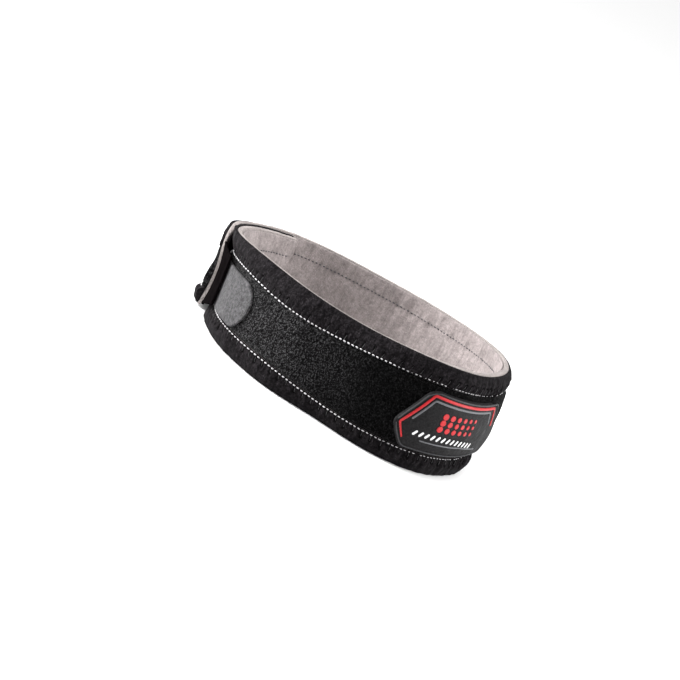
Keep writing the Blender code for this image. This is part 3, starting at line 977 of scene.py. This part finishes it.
def bar(run, level, length, width, tilt):
    """Short bar with round ends."""
    angle = np.radians(np.linspace(-90.0, 90.0, 7))
    cap = 0.5 * width
    right = np.stack([0.5 * length - cap + cap * np.cos(angle), cap * np.sin(angle)], 1)
    points = np.concatenate([right, -right])
    turn = np.radians(tilt)
    across = points[:, 0] * np.cos(turn) - points[:, 1] * np.sin(turn)
    rise = points[:, 0] * np.sin(turn) + points[:, 1] * np.cos(turn)
    return np.stack([run + across, level + rise], 1)


# Six columns of three dots that shrink to the right, and a slightly arched row of slanted bars.
DOTS_START, DOT_COLUMNS, DOT_ROWS = -16.6, 6, 3
BARS_START, BARS = -23.4, 13
dots = []
for column in range(DOT_COLUMNS):
    for row in range(DOT_ROWS):
        dots.append(disc(run_at(DOTS_START) + 0.0036 * column, 0.0211 + 0.0027 * row + 0.0001 * column,
                         0.00128 - 0.00010 * column))
red_dots = pads("patch_red_dots", dots, 0.00022, red_rubber)
dashes = []
for number in range(BARS):
    arched = 0.0164 + 0.0008 * np.sin(np.pi * number / (BARS - 1))
    dashes.append(bar(run_at(BARS_START) + 0.0026 * number, arched, 0.0025, 0.00095, 62.0))
white_dashes = pads("patch_white_dashes", dashes, 0.00014, white_rubber)


# Stitching.
STITCH_PITCH = 0.00185
STITCH_STRETCH = 0.00060
STITCH_RINGS = 9
SEAM_DEPTH = 0.00030
FINE_STEP = 0.0002


def stitch_row(name, first, last, radius, arch, material, sides=8):
    """Thread pieces between pairs of (run, level, depth), each a rounded strand arching between holes."""
    t = np.linspace(0.0, 1.0, STITCH_RINGS)
    middle = first[:, None, :] + (last - first)[:, None, :] * t[None, :, None]
    middle[:, :, 2] -= arch * np.sin(np.pi * t)[None, :]**0.7
    bearing, level, depth = bearing_at(middle[:, :, 0]), middle[:, :, 1], middle[:, :, 2]
    centre = wall(bearing, level, depth)
    out = wall(bearing, level, depth - 0.001) - centre
    out /= np.linalg.norm(out, axis=2, keepdims=True)
    along = centre[:, -1, :] - centre[:, 0, :]
    length = np.linalg.norm(along, axis=1)
    side = np.cross((along / length[:, None])[:, None, :], out)
    side /= np.linalg.norm(side, axis=2, keepdims=True)
    swell = np.clip(1.0 - np.abs(2 * t - 1)**3.2, 0.03, 1.0)**0.5
    angle = np.radians(np.arange(sides) * 360.0 / sides)
    ring = (out[:, :, None, :] * (np.sin(angle) * 0.85)[None, None, :, None]
            + side[:, :, None, :] * np.cos(angle)[None, None, :, None])
    size = np.broadcast_to(radius, len(first))[:, None, None, None] * swell[None, :, None, None]
    vertices = (centre[:, :, None, :] + ring * size).reshape(-1, 3)
    u, v = np.broadcast_arrays(length[:, None, None] * t[None, :, None], np.arange(sides) / sides)
    faces = closed_tubes(len(first), STITCH_RINGS, sides)
    return make_object(name, vertices, faces, np.stack([u, v], -1).reshape(-1, 2), material, sharp=80.0)


def seam_stitches(name, upper, seed, depth, end=FLAP_END - 1.6, inside=False):
    """Row of uneven stitches along a seam: pale thread outside, grey thread on the lining."""
    fine = np.arange(run_at(START + 1.5), run_at(end), FINE_STEP)
    where = bearing_at(fine)
    wide = smooth(where, -150.0, -125.0) * (1.0 - smooth(where, -98.0, -76.0))
    pitch = STITCH_PITCH + STITCH_STRETCH * wide
    passed = np.cumsum(FINE_STEP / pitch)
    number = np.arange(int(passed[-1]))
    run = np.interp(number + 1.0, passed, fine)
    length = np.interp(number + 1.0, passed, pitch) * (0.56 + 0.10 * hashed(number, seed + 1))
    bearing = bearing_at(run)
    low, high = seam_levels(bearing)
    level = (high + 0.00004 if upper else low - 0.00004) + 0.00010 * (hashed(number, seed) - 0.5)
    far = front(bearing)
    sink = depth + 0.00010 * hashed(number, seed + 2) + far * (0.00014 + 0.00040 * hashed(number, seed + 3))
    if not upper and not inside:
        sink = sink - plump(bearing)
    rise = 0.00012 * (hashed(number, seed + 4) - 0.5)
    first = np.stack([run - 0.5 * length, level - rise, sink], 1)
    last = np.stack([run + 0.5 * length, level + rise, sink], 1)
    radius = 0.00025 * (0.9 + 0.2 * hashed(number, seed + 5)) * (1.0 - 0.40 * far)
    arch, thread = (-0.00014, grey_thread) if inside else (0.00017, pale_thread)
    return stitch_row(name, first, last, radius, arch, thread)


upper_stitches = seam_stitches("upper_seam_stitches", True, 11, SEAM_DEPTH)
lower_stitches = seam_stitches("lower_seam_stitches", False, 31, SEAM_DEPTH)


def cross_stitches(name, side):
    """Dark stitches from a seam into its margin, on a side as above."""
    number = np.arange(np.ceil(run_at(START + 3.0) / LEG_PITCH),
                       np.floor(run_at(FLAP_END - 4.0) / LEG_PITCH))
    run = (number + leg_shift(number, side)) * LEG_PITCH
    length = leg_length(number, side)
    slant = leg_slant(run, side)
    bearing = bearing_at(run)
    low, high = seam_levels(bearing)
    if side > 0:
        seam, out = high, np.zeros_like(run)
        keep = height(bearing) - seam > LEG_REACH[side] + 0.003
    else:
        seam, out = low, plump(bearing)
        keep = seam > LEG_REACH[side] + 0.001
    first = np.stack([run + slant * 0.0004, seam + side * 0.0004, 0.00034 - out], 1)
    last = np.stack([run + slant * length, seam + side * length, -0.00014 - out], 1)
    return stitch_row(name, first[keep], last[keep], 0.00013, 0.00025, dark_thread, sides=6)


upper_cross = cross_stitches("upper_cross_stitches", 1)
lower_cross = cross_stitches("lower_cross_stitches", -1)
inner_depth = lining_outer + CORE + LINING - 0.00026
upper_inner = seam_stitches("lining_upper_stitches", True, 51, inner_depth, facing_start - 1.0, True)
lower_inner = seam_stitches("lining_lower_stitches", False, 71, inner_depth, facing_start - 1.0, True)

# What each piece stands for.
replaced = (
    (upper_margin, "upper_margin"),
    (lower_margin, "lower_margin"),
    (panel, "loop_panel"),
    (foam_core, "foam_core"),
    (lining, "lining"),
    (facing, "flap_facing"),
    (tab, "hook_tab"),
    (patch, "patch"),
    (border, "patch_border"),
    (ridge, "patch_ridge"),
)
for piece, node in replaced:
    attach(piece, "root")
    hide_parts(node)
for piece, slot_name in ((foot, "patch_ridge"), (bead, "patch_ridge"), (red_dots, "patch_border")):
    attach(piece, "root")
for piece in (white_dashes, upper_stitches, lower_stitches, upper_cross, lower_cross,
              upper_inner, lower_inner):
    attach(piece, "root")

# Floor, light and camera.
floor_mesh = bpy.data.meshes.new("floor")
floor_mesh.from_pydata([(-8, -8, 0), (8, -8, 0), (8, 8, 0), (-8, 8, 0)], [], [(0, 1, 2, 3)])
floor = linked("floor", floor_mesh)
floor_paint = bpy.data.materials.new("floor_white")
floor_paint.use_nodes = True
floor_shader = floor_paint.node_tree.nodes["Principled BSDF"]
floor_shader.inputs["Base Color"].default_value = (0.96, 0.96, 0.96, 1)
floor_shader.inputs["Roughness"].default_value = 0.9
floor_shader.inputs["Specular IOR Level"].default_value = 0.1
floor_mesh.materials.append(floor_paint)

world = bpy.data.worlds.new("studio")
scene.world = world
world.use_nodes = True
sky = world.node_tree.nodes["Background"]
sky.inputs["Color"].default_value = (1.0, 1.0, 1.0, 1.0)
sky.inputs["Strength"].default_value = 0.32

BOX_DISTANCE = 0.9
BOX_LEVEL = 0.40


def softbox(name, bearing, power):
    """Upright rectangular light on a bearing round the strap, facing it."""
    lamp = bpy.data.lights.new(name, "AREA")
    lamp.shape = "RECTANGLE"
    lamp.size = 0.5
    lamp.size_y = 0.8
    lamp.energy = power
    item = linked(name, lamp)
    angle = np.radians(bearing - 90.0)
    place = Vector((BOX_DISTANCE * np.cos(angle), BOX_DISTANCE * np.sin(angle), BOX_LEVEL))
    item.location = place
    item.rotation_euler = (Vector((0, 0, 0.02)) - place).to_track_quat("-Z", "Y").to_euler()


softbox("left_softbox", -138.0, 30.0)
softbox("right_softbox", 38.0, 14.0)
overhead = bpy.data.lights.new("overhead", "SUN")
overhead.energy = 2.0
overhead.angle = 0.9
linked("overhead", overhead).location = (0.0, 0.0, 3.0)

camera_data = bpy.data.cameras.new("camera")
camera_data.lens = 158.19
camera_data.sensor_width = 36.0
camera_data.clip_start = 0.05
camera_data.clip_end = 30.0
camera = linked("camera", camera_data)
camera.matrix_world = Matrix((
    (0.627827525, -0.136792243, -0.766237855, -0.921067894),
    (-0.620172620, 0.506954789, -0.598650813, -0.709692698),
    (0.470338762, 0.851049185, 0.233445361, 0.297487438),
    (0.0, 0.0, 0.0, 1.0),
))
scene.camera = camera
scene.view_settings.view_transform = "Standard"
